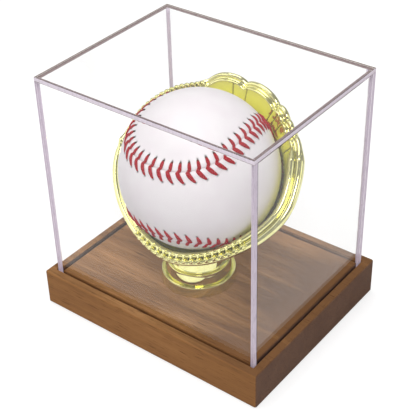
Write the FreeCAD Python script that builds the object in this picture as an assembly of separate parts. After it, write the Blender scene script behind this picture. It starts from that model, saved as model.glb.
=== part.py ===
import FreeCAD, Part
import math
import os

os.makedirs("parts", exist_ok=True)

# Baseball display case: wooden base, clear lift-off cover, glove-shaped holder and ball.
# Millimetres, +Z up, front towards -Y, origin on the table under the middle of the base.

# Ball, layer by layer from the outside in
ball_diameter = 73.0
leather_thick = 1.4
cotton_thick = 1.8
wool_outer_thick = 2.6
wool_middle_thick = 3.0
wool_inner_thick = 10.2
red_rubber_thick = 4.0
rubber_half_thick = 3.0
gasket_height = 1.0
layer_gap = 0.05

# Seam of the ball: a closed wave round the sphere, in radians
seam_lift = 1.116
seam_trim = -0.038
seam_sway = 0.355
seam_period = 4 * math.pi
seam_knots = 96
seam_samples = 1920
gore_count = 4
ball_roll = -92.8

# Stitches: pairs of thread legs that meet on the seam like chevrons
stitch_pitch = 4.3
stitch_reach = 4.6
stitch_slant = 2.6
stitch_inset = 0.35
thread_diameter = 0.56
thread_gap = 0.06

# Glove-shaped cup
opening_tilt = 45.0
opening_yaw = 6.0
seat_clearance = 0.35
seat_angle = 55.0
glove_wall = 2.8
lip_gap = 4.2
rim_drop = 2.0
rim_shift = 2.4
inner_roll_diameter = 3.4
outer_roll_diameter = 5.6
web_roll_diameter = 4.0
roll_pitch = 1.9
roll_step = 2.4
finger_count = 4
finger_spacing = 24.0
index_angle = -7.0
finger_diameter = 22.0
finger_rise = 3.6
finger_start = 42.0
finger_tip_drop = 6.0
finger_lip_gap = 7.9
finger_lip_drop = 4.2
finger_flare_drop = 10.0
thumb_angle = -92.0
thumb_diameter = 15.0
thumb_rise = 1.6
thumb_start = 50.0
tip_bulge = 0.2
boss_height = 3.2
pocket_setback = 1.3

# Pedestal under the glove
skirt_height = 6.7
skirt_taper = 0.4
skirt_bead = 1.0
cove_height = 3.9
neck_height = 4.4
neck_cove = 2.4
neck_wall = 4.2
step_width = 3.8
step_chamfer = 0.6
foot_width = 4.0
ledge_thick = 5.0

# Bolt, washer and nut that hold the pedestal to the board
bolt_diameter = 6.0
bolt_hole_clearance = 0.3
bolt_proud = 1.0
head_across = 10.0
head_height = 4.0
head_recess = 1.2
washer_diameter = 14.0
washer_thick = 1.6
nut_across = 10.0
nut_height = 5.0
nut_clearance = 0.1
thread_clearance = 0.05
counterbore_room = 2.0
spigot_margin = 0.6
spigot_clearance = 0.1
spigot_gap = 0.5

# Clear cover
acrylic_thick = 2.0
cover_clearance = 0.6
cover_seat_gap = 0.2
room_side = 9.8
room_front = 1.1
room_back = 5.2
room_above = 8.0

# Base
board_thick = 19.0
rim_width = 4.0
groove_depth = 5.0
edge_round = 1.0
platform_round = 0.8
felt_thick = 0.6
felt_inset = 3.0
felt_corner = 2.0

# How near an edge has to lie to a level or an outline to count as on it
edge_tolerance = 0.01

# Ball radii
ball_radius = ball_diameter / 2
thread_radius = thread_diameter / 2
ball_envelope = ball_radius + thread_gap + thread_diameter

# Glove geometry in its own frame: mouth along +Z, fingers towards +Y
seat_radius = ball_envelope + seat_clearance
inner_roll = inner_roll_diameter / 2
outer_roll = outer_roll_diameter / 2
web_roll = web_roll_diameter / 2
seat_swing = math.radians(seat_angle)
seat_end = FreeCAD.Vector(seat_radius * math.sin(seat_swing), 0, -seat_radius * math.cos(seat_swing))
lip_radius = ball_radius + lip_gap
finger_lip_radius = ball_radius + finger_lip_gap
inner_roll_radius = lip_radius + inner_roll
outer_roll_radius = inner_roll_radius + roll_pitch
inner_roll_level = -rim_drop
outer_roll_level = -rim_drop - roll_step
glove_reach = outer_roll_radius + outer_roll
wall_depth = seat_radius + glove_wall
# The outer wall is a sphere through the back of the cup and the middle of the outer roll
roll_reach = math.hypot(outer_roll_radius, outer_roll_level)
wall_center = (roll_reach ** 2 - wall_depth ** 2) / (2 * (wall_depth + outer_roll_level))
wall_radius = wall_center + wall_depth
tilt = math.radians(opening_tilt)
wall_drop = wall_radius - wall_center * math.sin(tilt)
back_reach = wall_radius + finger_rise - wall_center * math.cos(tilt)

# Pedestal radii and levels above the platform
hex_sides = 6
corner_ratio = 1 / (2 * math.cos(math.pi / hex_sides))
nut_corner = nut_across * corner_ratio
spigot_radius = nut_corner + nut_clearance + spigot_margin
socket_radius = spigot_radius + spigot_clearance
neck_radius = socket_radius + neck_wall
step_radius = neck_radius + step_width
foot_radius = step_radius + foot_width
pedestal_height = skirt_height + cove_height + neck_height

# Base and cover sizes follow from the ball and the room left round it
inner_width = 2 * (glove_reach + room_side)
inner_depth = ball_envelope + room_front + back_reach + room_back
cover_width = inner_width + 2 * acrylic_thick
cover_depth = inner_depth + 2 * acrylic_thick
groove_width = acrylic_thick + 2 * cover_clearance
base_width = cover_width + 2 * (cover_clearance + rim_width)
base_depth = cover_depth + 2 * (cover_clearance + rim_width)
platform_level = felt_thick + board_thick
groove_level = platform_level - groove_depth

# Places
ball_y = room_front + ball_envelope - inner_depth / 2
ball_z = platform_level + pedestal_height + boss_height + wall_drop
ball_center = FreeCAD.Vector(0, ball_y, ball_z)
foot_y = ball_y - pocket_setback
pedestal_top = platform_level + pedestal_height
cover_foot = groove_level + cover_seat_gap
cover_inner_top = ball_z + ball_envelope + room_above
cover_top_level = cover_inner_top + acrylic_thick

# Fixing levels
counterbore_depth = head_recess + head_height + washer_thick
bolt_hole_radius = bolt_diameter / 2 + bolt_hole_clearance
counterbore_radius = washer_diameter / 2 + counterbore_room
washer_level = felt_thick + head_recess + head_height
nut_level = platform_level + ledge_thick
bolt_tip = nut_level + nut_height + bolt_proud
spigot_level = bolt_tip + spigot_gap

up = FreeCAD.Vector(0, 0, 1)
origin = FreeCAD.Vector(0, 0, 0)


def save(name, shape):
    shape.exportStep("parts/" + name + ".step")
    print(name, len(shape.Solids), "solid(s)", round(shape.Volume, 1), "mm3")


def block(width, depth, low, high):
    return Part.makeBox(width, depth, high - low, FreeCAD.Vector(-width / 2, -depth / 2, low))


def post(radius, low, high, y=0.0):
    return Part.makeCylinder(radius, high - low, FreeCAD.Vector(0, y, low))


def hex_post(across, low, high, y):
    corner = across * corner_ratio
    points = []
    for k in range(hex_sides + 1):
        turn = 2 * math.pi * k / hex_sides
        points.append(FreeCAD.Vector(corner * math.cos(turn), y + corner * math.sin(turn), low))
    return Part.Face(Part.makePolygon(points)).extrude(up * (high - low))


def arc(start, middle, end):
    return Part.Arc(start, middle, end).toShape()


def line(start, end):
    return Part.LineSegment(start, end).toShape()


def spin(edges):
    # A closed outline in the XZ plane, turned once round Z
    return Part.Face(Part.Wire(edges)).revolve(origin, up, 360)


def edges_at(shape, level, half_width, half_depth):
    # Straight edges at one level that lie on the outline of a centred rectangle
    found = []
    for edge in shape.Edges:
        middle = edge.valueAt((edge.FirstParameter + edge.LastParameter) / 2)
        past_x = abs(middle.x) - half_width
        past_y = abs(middle.y) - half_depth
        on_outline = abs(max(past_x, past_y)) < edge_tolerance
        if on_outline and abs(middle.z - level) < edge_tolerance:
            found.append(edge)
    return found


def upright_edges(shape):
    return [e for e in shape.Edges if abs(e.tangentAt(e.FirstParameter).z) > 1 - edge_tolerance]


def base_board():
    board = block(base_width, base_depth, felt_thick, platform_level)
    board = board.makeFillet(edge_round, upright_edges(board))
    top = [e for e in board.Edges if abs(e.CenterOfMass.z - platform_level) < edge_tolerance]
    board = board.makeFillet(edge_round, top)
    groove_outer_width = base_width - 2 * rim_width
    groove_outer_depth = base_depth - 2 * rim_width
    platform_width = groove_outer_width - 2 * groove_width
    platform_depth = groove_outer_depth - 2 * groove_width
    groove = block(groove_outer_width, groove_outer_depth, groove_level, platform_level)
    groove = groove.cut(block(platform_width, platform_depth, groove_level, platform_level))
    board = board.cut(groove)
    rim_edges = edges_at(board, platform_level, platform_width / 2, platform_depth / 2)
    board = board.makeFillet(platform_round, rim_edges)
    board = board.cut(post(bolt_hole_radius, felt_thick, platform_level, foot_y))
    return board.cut(post(counterbore_radius, felt_thick, felt_thick + counterbore_depth, foot_y))


def base_felt():
    pad = block(base_width - 2 * felt_inset, base_depth - 2 * felt_inset, 0, felt_thick)
    return pad.makeFillet(felt_corner, upright_edges(pad))


def holder_bolt():
    head = hex_post(head_across, washer_level - head_height, washer_level, foot_y)
    return head.fuse(post(bolt_diameter / 2, washer_level, bolt_tip, foot_y))


def holder_washer():
    ring = post(washer_diameter / 2, washer_level, washer_level + washer_thick, foot_y)
    return ring.cut(post(bolt_hole_radius, washer_level, washer_level + washer_thick, foot_y))


def holder_nut():
    nut = hex_post(nut_across, nut_level, nut_level + nut_height, foot_y)
    bore = bolt_diameter / 2 + thread_clearance
    return nut.cut(post(bore, nut_level, nut_level + nut_height, foot_y))


def pedestal():
    # Outline from the middle of the foot outwards, up over the skirt, cove, step and neck
    skirt_edge = foot_radius - skirt_taper
    cove_foot = skirt_edge - skirt_bead
    step_level = skirt_height + cove_height
    neck_top = neck_radius + neck_cove
    bow = 1 - math.sqrt(0.5)
    outline = [
        FreeCAD.Vector(0, 0, 0),
        FreeCAD.Vector(foot_radius, 0, 0),
        FreeCAD.Vector(skirt_edge, 0, skirt_height - skirt_bead),
        FreeCAD.Vector(cove_foot, 0, skirt_height),
        FreeCAD.Vector(step_radius, 0, step_level - step_chamfer),
        FreeCAD.Vector(step_radius - step_chamfer, 0, step_level),
        FreeCAD.Vector(neck_top, 0, step_level),
        FreeCAD.Vector(neck_radius, 0, step_level + neck_cove),
        FreeCAD.Vector(neck_radius, 0, pedestal_height),
        FreeCAD.Vector(0, 0, pedestal_height),
    ]
    bead_middle = FreeCAD.Vector(skirt_edge - skirt_bead * bow, 0, skirt_height - skirt_bead * bow)
    cove_run = cove_foot - step_radius
    cove_rise = cove_height - step_chamfer
    cove_middle = FreeCAD.Vector(step_radius + cove_run * bow, 0, skirt_height + cove_rise * bow)
    neck_middle = FreeCAD.Vector(neck_radius + neck_cove * bow, 0, step_level + neck_cove * bow)
    bows = {2: bead_middle, 3: cove_middle, 6: neck_middle}
    edges = []
    for k, start in enumerate(outline):
        end = outline[(k + 1) % len(outline)]
        edges.append(arc(start, bows[k], end) if k in bows else line(start, end))
    foot = spin(edges)
    foot.translate(FreeCAD.Vector(0, foot_y, platform_level))
    foot = foot.cut(post(bolt_hole_radius, platform_level, pedestal_top, foot_y))
    foot = foot.cut(post(socket_radius, nut_level + nut_height, pedestal_top, foot_y))
    return foot.cut(hex_post(nut_across + 2 * nut_clearance, nut_level, pedestal_top, foot_y))


def ridge(angle, diameter, rise, start_angle):
    # Rounded finger along the outer wall, from near the back of the cup up to the mouth
    radius = diameter / 2
    line_radius = wall_radius + rise - radius
    center = FreeCAD.Vector(0, 0, wall_center)
    tip_turn = 90 - math.degrees(math.asin((wall_center + finger_tip_drop) / line_radius))

    def on_line(turn):
        swing = math.radians(turn)
        return center + FreeCAD.Vector(0, line_radius * math.sin(swing), -line_radius * math.cos(swing))

    swing = math.radians(start_angle)
    along = FreeCAD.Vector(0, math.cos(swing), math.sin(swing))
    section = Part.Face(Part.Wire(Part.makeCircle(radius, on_line(start_angle), along)))
    body = section.revolve(center, FreeCAD.Vector(1, 0, 0), tip_turn - start_angle)
    tip = Part.makeSphere(radius + tip_bulge, on_line(tip_turn))
    root = Part.makeSphere(radius + tip_bulge, on_line(start_angle))
    body = body.fuse([tip, root])
    body.rotate(origin, up, -angle)
    return body


def roll(radius, level, minor, start_angle, end_angle, shift):
    # Rolled rim: a bar with round ends, bent clockwise about the mouth, set over towards the fingers
    swing = math.radians(90 - start_angle)
    outward = FreeCAD.Vector(math.cos(swing), math.sin(swing), 0)
    along = FreeCAD.Vector(-math.sin(swing), math.cos(swing), 0)
    start = outward * radius + up * level
    section = Part.Face(Part.Wire(Part.makeCircle(minor, start, along)))
    bar = section.revolve(origin, up, start_angle - end_angle)
    swing = math.radians(90 - end_angle)
    end = FreeCAD.Vector(radius * math.cos(swing), radius * math.sin(swing), level)
    bar = bar.fuse([Part.makeSphere(minor + tip_bulge, place) for place in (start, end)])
    bar.translate(FreeCAD.Vector(0, shift, 0))
    return bar


def pocket_radius(level):
    # The pocket opens as a straight cone from the end of the seat to the lip
    slope = (lip_radius - seat_end.x) / (-rim_drop - seat_end.z)
    return lip_radius + slope * (level + rim_drop)


def pocket():
    # Round seat for the ball, flaring outwards to the lip and on past the mouth
    half = seat_swing / 2
    seat_middle = FreeCAD.Vector(seat_radius * math.sin(half), 0, -seat_radius * math.cos(half))
    seat_back = FreeCAD.Vector(0, 0, -seat_radius)
    mouth = FreeCAD.Vector(pocket_radius(wall_radius), 0, wall_radius)
    top = FreeCAD.Vector(0, 0, wall_radius)
    return spin([arc(seat_back, seat_middle, seat_end), line(seat_end, mouth),
                 line(mouth, top), line(top, seat_back)])


def finger_flare(start_angle, end_angle):
    # The fingers lie open: a wide cone from the pocket to their lips, and nothing above the lips
    clear = 2 * wall_radius
    corners = [
        FreeCAD.Vector(0, 0, -finger_flare_drop),
        FreeCAD.Vector(pocket_radius(-finger_flare_drop), 0, -finger_flare_drop),
        FreeCAD.Vector(finger_lip_radius, 0, -finger_lip_drop),
        FreeCAD.Vector(clear, 0, -finger_lip_drop),
        FreeCAD.Vector(clear, 0, clear),
        FreeCAD.Vector(0, 0, clear),
        FreeCAD.Vector(0, 0, -finger_flare_drop),
    ]
    flare = Part.Face(Part.makePolygon(corners)).revolve(origin, up, end_angle - start_angle)
    flare.rotate(origin, up, 90 - end_angle)
    return flare


def place_glove(shape):
    # Tipped back, and turned a little on its foot
    shape.rotate(origin, FreeCAD.Vector(1, 0, 0), 90 - opening_tilt)
    shape.rotate(origin, up, opening_yaw)
    shape.translate(ball_center)
    return shape


def glove_cup():
    wall = Part.makeSphere(wall_radius, FreeCAD.Vector(0, 0, wall_center))
    keep = Part.makeCylinder(2 * wall_radius, wall_radius + wall_depth,
                             FreeCAD.Vector(0, 0, outer_roll_level - wall_radius - wall_depth))
    wall = wall.common(keep)
    fingers_begin = index_angle - finger_spacing / 2
    fingers_end = fingers_begin + finger_count * finger_spacing
    thumb_turn = 360 + thumb_angle
    web_radius = outer_roll_radius - web_roll
    fingers = []
    for k in range(finger_count):
        fingers.append(ridge(index_angle + k * finger_spacing, finger_diameter, finger_rise, finger_start))
    hand = wall.fuse(fingers).cut(finger_flare(fingers_begin, fingers_end))
    # One after another: these lie so close along each other that a single fuse can lose the wall
    hand = hand.fuse(ridge(thumb_angle, thumb_diameter, thumb_rise, thumb_start))
    hand = hand.fuse(roll(web_radius, outer_roll_level, web_roll, thumb_turn, 360 + fingers_begin, 0))
    hand = hand.fuse(roll(outer_roll_radius, outer_roll_level, outer_roll, fingers_end, thumb_turn, rim_shift))
    cup = place_glove(hand)
    boss_top = ball_z - seat_radius + neck_radius
    cup = cup.fuse([post(neck_radius, pedestal_top, boss_top, foot_y),
                    post(spigot_radius, spigot_level, pedestal_top, foot_y)])
    cup = cup.cut(place_glove(pocket()))
    rim = roll(inner_roll_radius, inner_roll_level, inner_roll, fingers_end, thumb_turn, rim_shift)
    return cup.fuse(place_glove(rim)).removeSplitter()


def cover_panels():
    wall_height = cover_inner_top - cover_foot
    panels = {"cover_top": block(cover_width, cover_depth, cover_inner_top, cover_top_level)}
    for name, sign in (("cover_front", -1), ("cover_back", 1)):
        middle_y = sign * (cover_depth - acrylic_thick) / 2
        low = FreeCAD.Vector(-cover_width / 2, middle_y - acrylic_thick / 2, cover_foot)
        panels[name] = Part.makeBox(cover_width, acrylic_thick, wall_height, low)
    for name, sign in (("cover_left", -1), ("cover_right", 1)):
        middle_x = sign * (cover_width - acrylic_thick) / 2
        low = FreeCAD.Vector(middle_x - acrylic_thick / 2, -inner_depth / 2, cover_foot)
        panels[name] = Part.makeBox(acrylic_thick, inner_depth, wall_height, low)
    return panels


def place_ball(shape):
    shape.rotate(origin, FreeCAD.Vector(1, 0, 0), ball_roll)
    shape.translate(ball_center)
    return shape


def hollow_ball(outer, inner):
    return Part.makeSphere(outer).cut(Part.makeSphere(inner))


def gored_ball(radius):
    # A whole sphere whose surface is made of equal gores
    gore_angle = 360 / gore_count
    gores = []
    for k in range(gore_count):
        gore = Part.makeSphere(radius, origin, up, -90, 90, gore_angle)
        gore.rotate(origin, up, gore_angle * k)
        gores.append(gore)
    return gores[0].fuse(gores[1:])


def ball_core():
    # Concentric layers under the leather, each a hair clear of the next
    layers = [("ball_cotton_winding", cotton_thick), ("ball_wool_outer", wool_outer_thick),
              ("ball_wool_middle", wool_middle_thick), ("ball_wool_inner", wool_inner_thick),
              ("ball_red_rubber", red_rubber_thick)]
    pieces = {}
    outer = ball_radius - leather_thick - layer_gap
    for name, thick in layers:
        pieces[name] = hollow_ball(outer, outer - thick)
        outer = outer - thick - layer_gap
    inner = outer - rubber_half_thick
    shell = hollow_ball(outer, inner)
    half_gasket = gasket_height / 2
    ring = Part.makeCylinder(outer, gasket_height, FreeCAD.Vector(0, 0, -half_gasket))
    pieces["ball_rubber_gasket"] = shell.common(ring)
    reach = 2 * outer
    halves = {"ball_rubber_half_upper": half_gasket, "ball_rubber_half_lower": -half_gasket - reach}
    for name, low in halves.items():
        half_space = Part.makeBox(reach, reach, reach, FreeCAD.Vector(-outer, -outer, low))
        pieces[name] = shell.common(half_space)
    pieces["ball_cork_core"] = Part.makeSphere(inner - layer_gap)
    return pieces


def seam_point(t, radius):
    rise = seam_lift * math.cos(t) + seam_trim * math.cos(3 * t)
    heading = t / 2 + seam_sway * math.sin(2 * t)
    flat = radius * math.cos(rise)
    return FreeCAD.Vector(flat * math.cos(heading), flat * math.sin(heading), radius * math.sin(rise))


def seam_curve(radius):
    points = [seam_point(seam_period * k / seam_knots, radius) for k in range(seam_knots)]
    curve = Part.BSplineCurve()
    curve.interpolate(points, PeriodicFlag=True)
    return curve.toShape()


def leather_panels():
    # The leather shell, divided along the seam by a surface that points at the ball's centre
    shell = gored_ball(ball_radius).cut(gored_ball(ball_radius - leather_thick))
    inside = seam_curve(ball_radius - 2 * leather_thick)
    outside = seam_curve(ball_radius + leather_thick)
    divider = Part.makeRuledSurface(inside, outside)
    halves = shell.generalFuse([divider])[0].Solids
    # The panel that holds the top of the wave comes first
    top = FreeCAD.Vector(0, 0, ball_radius - leather_thick / 2)
    return sorted(halves, key=lambda half: not half.isInside(top, edge_tolerance, True))


def seam_stations():
    # Evenly spaced places along the seam, one per pair of stitch legs
    turns = [seam_period * k / seam_samples for k in range(seam_samples + 1)]
    points = [seam_point(t, ball_radius) for t in turns]
    travelled = [0.0]
    for before, after in zip(points, points[1:]):
        travelled.append(travelled[-1] + before.distanceToPoint(after))
    pairs = round(travelled[-1] / stitch_pitch)
    stations = []
    k = 0
    for n in range(pairs):
        wanted = travelled[-1] * n / pairs
        while travelled[k + 1] <= wanted:
            k += 1
        stations.append((points[k], points[k + 1] - points[k]))
    return stations


def stitch_leg(start, end):
    along = end - start
    return Part.makeCylinder(thread_radius, along.Length, start, along)


def ball_stitches():
    # Each leg runs straight from beside the seam to its hole, resting on the leather
    rest_radius = ball_radius + thread_gap + thread_radius
    legs = []
    for place, ahead in seam_stations():
        out = FreeCAD.Vector(place).normalize()
        forward = FreeCAD.Vector(ahead).normalize()
        side = out.cross(forward)
        for sign in (-1, 1):
            near = place + side * (sign * stitch_inset)
            far = place + side * (sign * stitch_reach) + forward * stitch_slant
            near.normalize()
            far.normalize()
            legs.append(stitch_leg(near * rest_radius, far * rest_radius))
    return Part.makeCompound(legs)


nodes = {
    "base_board": base_board(),
    "base_felt": base_felt(),
    "holder_bolt": holder_bolt(),
    "holder_washer": holder_washer(),
    "holder_nut": holder_nut(),
    "pedestal": pedestal(),
    "glove_cup": glove_cup(),
}
nodes.update(cover_panels())
for name, piece in ball_core().items():
    nodes[name] = place_ball(piece)
for name, piece in zip(("ball_leather_upper", "ball_leather_lower"), leather_panels()):
    nodes[name] = place_ball(piece)
nodes["ball_stitches"] = place_ball(ball_stitches())

for name, shape in nodes.items():
    save(name, shape)
print("base", round(base_width, 2), "x", round(base_depth, 2), "height", round(cover_top_level, 2))
print("ball centre", round(ball_y, 2), round(ball_z, 2), "foot y", round(foot_y, 2))
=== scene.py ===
import bmesh
import bpy
import numpy as np
from mathutils import Matrix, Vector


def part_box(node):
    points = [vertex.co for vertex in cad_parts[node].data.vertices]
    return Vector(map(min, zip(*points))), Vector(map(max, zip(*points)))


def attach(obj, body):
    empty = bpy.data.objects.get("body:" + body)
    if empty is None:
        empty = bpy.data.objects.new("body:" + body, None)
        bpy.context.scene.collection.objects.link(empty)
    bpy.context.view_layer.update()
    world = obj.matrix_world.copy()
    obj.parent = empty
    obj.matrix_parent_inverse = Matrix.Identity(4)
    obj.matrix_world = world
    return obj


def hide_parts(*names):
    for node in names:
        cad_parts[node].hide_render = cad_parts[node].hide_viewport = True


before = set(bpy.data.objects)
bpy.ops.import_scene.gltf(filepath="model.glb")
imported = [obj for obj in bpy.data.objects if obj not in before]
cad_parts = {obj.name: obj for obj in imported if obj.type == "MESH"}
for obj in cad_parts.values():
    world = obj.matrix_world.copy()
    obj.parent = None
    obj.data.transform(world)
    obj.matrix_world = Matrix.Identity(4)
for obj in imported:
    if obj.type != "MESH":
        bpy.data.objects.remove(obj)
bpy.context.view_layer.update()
mm = 0.001
print("frame loaded:", len(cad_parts), "nodes")


def corners(node):  # low and high corner of a node's box, in millimetres
    return (np.array(corner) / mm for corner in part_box(node))


def ease(x, low, high):  # 0 below low, 1 above high, a smooth S between them
    t = np.clip((x - low) / (high - low), 0, 1)
    return t * t * (3 - 2 * t)


def window(x, a, b, c, d):  # rises from a to b and falls from c to d
    return ease(x, a, b) * (1 - ease(x, c, d))


def unit(v):  # each vector over its length
    return v / np.linalg.norm(v, axis=-1, keepdims=True)


def turned(points, degrees):  # rotation about the X axis
    c, s = np.cos(np.radians(degrees)), np.sin(np.radians(degrees))
    return points @ np.array([[1, 0, 0], [0, c, s], [0, -s, c]])


# quads of a rows by cols grid of points; a wrapped side joins its last line to its first
def gridQuads(rows, cols, wrapRows=False, wrapCols=False):
    a, b = np.meshgrid(np.arange(rows if wrapRows else rows - 1),
                       np.arange(cols if wrapCols else cols - 1), indexing="ij")
    a, b = a.ravel(), b.ravel()
    nextA, nextB = (a + 1) % rows, (b + 1) % cols
    quads = np.stack([a * cols + b, a * cols + nextB, nextA * cols + nextB, nextA * cols + b], 1)
    uv = np.stack([np.stack([b, a], 1), np.stack([b + 1, a], 1),
                   np.stack([b + 1, a + 1], 1), np.stack([b, a + 1], 1)], 1)
    return quads, uv / np.array([cols, rows])


# points in millimetres; doubles are merged and faces made to look outwards
def meshPiece(name, points, quads, uv=None, marks=None):
    mesh = bpy.data.meshes.new(name)
    mesh.from_pydata((points * mm).tolist(), [], quads.tolist())
    if uv is not None:
        mesh.uv_layers.new(name="along").data.foreach_set("uv", uv.ravel())
    for key, values in (marks or {}).items():
        mesh.attributes.new(key, "FLOAT", "POINT").data.foreach_set("value", values.ravel())
    bm = bmesh.new()
    bm.from_mesh(mesh)
    bmesh.ops.remove_doubles(bm, verts=bm.verts, dist=1e-7)
    bmesh.ops.dissolve_degenerate(bm, edges=bm.edges, dist=1e-7)
    bmesh.ops.recalc_face_normals(bm, faces=bm.faces)
    bm.to_mesh(mesh)
    bm.free()
    mesh.polygons.foreach_set("use_smooth", np.ones(len(mesh.polygons), bool))
    piece = bpy.data.objects.new(name, mesh)
    bpy.context.collection.objects.link(piece)
    return piece


# rides a piece on its body, gives it a finish and hides the CAD nodes that it stands for
def dress(piece, body, slot, material, *replaced):
    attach(piece, body)
    if replaced:
        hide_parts(*replaced)
    piece.data.materials.append(material)


# oval tubes: each path (n, k, 3) carries a ring of that many sides; a small square number makes it boxy
def tubes(paths, across, out, halfWide, halfHigh, sides, closed=False, square=1.0):
    turn = np.linspace(0, 2 * np.pi, sides, endpoint=False)[:, None]
    c, s = (np.sign(v) * np.abs(v) ** square for v in (np.cos(turn), np.sin(turn)))
    wide = (across * halfWide[..., None])[:, :, None, :]
    high = (out * halfHigh[..., None])[:, :, None, :]
    points = paths[:, :, None, :] + c * wide + s * high
    count, steps = paths.shape[:2]
    quads, uv = gridQuads(steps, sides, wrapRows=closed, wrapCols=True)
    first = np.arange(count)[:, None, None] * steps * sides
    return points.reshape(-1, 3), (quads + first).reshape(-1, 4), np.tile(uv, (count, 1, 1))


# smooth curve through rows of control points (k, n): Catmull-Rom, so many steps a span
def throughPoints(rows, steps):
    padded = np.concatenate([2 * rows[:1] - rows[1:2], rows, 2 * rows[-1:] - rows[-2:-1]])
    t = (np.arange(steps) / steps).reshape(1, -1, 1)
    a, b, c, d = (padded[k:len(rows) - 1 + k, None, :] for k in range(4))
    curve = b + 0.5 * t * (c - a + t * (2 * a - 5 * b + 4 * c - d + t * (3 * (b - c) + d - a)))
    return np.concatenate([curve.reshape(-1, rows.shape[1]), rows[-1:]])


# finishes
def startMaterial(name):
    material = bpy.data.materials.new(name)
    material.use_nodes = True
    return material, material.node_tree, material.node_tree.nodes["Principled BSDF"]


def addNode(tree, kind, inputs=None, **settings):
    made = tree.nodes.new("ShaderNode" + kind)
    for key, value in settings.items():
        setattr(made, key, value)
    for key, value in (inputs or {}).items():
        if isinstance(value, bpy.types.NodeSocket):
            tree.links.new(value, made.inputs[key])
        else:
            made.inputs[key].default_value = value
    return made


def place(tree, stretch=(1, 1, 1)):  # object coordinates in metres, stretched
    where = addNode(tree, "TexCoord").outputs["Object"]
    return addNode(tree, "Mapping", {"Vector": where, "Scale": stretch}).outputs["Vector"]


def worked(tree, operation, a, b=0.0):  # one step of arithmetic
    return addNode(tree, "Math", {0: a, 1: b}, operation=operation).outputs[0]


def attribute(tree, name):  # a number stored on the mesh's points
    return addNode(tree, "Attribute", attribute_name=name).outputs["Fac"]


def noise(tree, vector, scale, detail=4, rough=0.5, distortion=0):
    made = addNode(tree, "TexNoise", {"Vector": vector, "Scale": scale, "Detail": detail,
                                      "Roughness": rough, "Distortion": distortion})
    return made.outputs["Fac"]


def ramp(tree, factor, *stops):  # colours or greys by position
    made = addNode(tree, "ValToRGB", {"Fac": factor})
    points = made.color_ramp.elements
    while len(points) < len(stops):
        points.new(0.5)
    for point, (position, colour) in zip(points, stops):
        point.position = position
        point.color = (*colour, 1) if np.ndim(colour) else (colour, colour, colour, 1)
    return made.outputs["Color"]


def mixed(tree, factor, a, b, blend="MIX"):  # from a to b by the factor
    made = addNode(tree, "Mix", data_type="RGBA", blend_type=blend)
    for socket, value in zip((made.inputs[0], made.inputs[6], made.inputs[7]), (factor, a, b)):
        if isinstance(value, bpy.types.NodeSocket):
            tree.links.new(value, socket)
        else:
            socket.default_value = (*value, 1) if np.ndim(value) else value
    return made.outputs[2]


def span(tree, value, low, high, toLow, toHigh):  # low to high becomes toLow to toHigh, held at both ends
    made = addNode(tree, "MapRange", {"Value": value, "From Min": low, "From Max": high,
                                      "To Min": toLow, "To Max": toHigh})
    return made.outputs["Result"]


def bump(tree, shader, height, strength, depth):  # depth in millimetres
    made = addNode(tree, "Bump", {"Height": height, "Strength": strength, "Distance": depth * mm})
    tree.links.new(made.outputs["Normal"], shader.inputs["Normal"])


def setSockets(shader, **values):
    for key, value in values.items():
        shader.inputs[key.replace("_", " ")].default_value = value


walnutLook = {
    "dark": (0.185, 0.088, 0.037), "middle": (0.305, 0.152, 0.060), "pale": (0.46, 0.240, 0.105),
    "pore": (0.10, 0.047, 0.020), "groove": (0.060, 0.026, 0.011), "gloss": (0.40, 0.55),
    "endGrain": (0.57, 0.62, 1.0), "side": (1.05, 0.97, 0.89),  # tints of the sawn ends and of the long sides
    "streakSize": 560, "figureSize": 75, "poreSize": 2100, "tones": (0.62, 1.38),
    "rightShade": (0.018, 0.056, 0.66),  # painted shade: the top darker towards +X: from, to, how much
    "rim": 0.0012, "grooveLip": 0.0003, "grooveDeep": (0.0025, 0.0008),  # painted shade in the routed groove
    "relief": (0.20, 0.12), "specular": 0.05,
}
boardLow, boardHigh = (corner * mm for corner in corners("base_board"))
boardHalf, boardTop = (boardHigh - boardLow)[:2] / 2, boardHigh[2]


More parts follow.
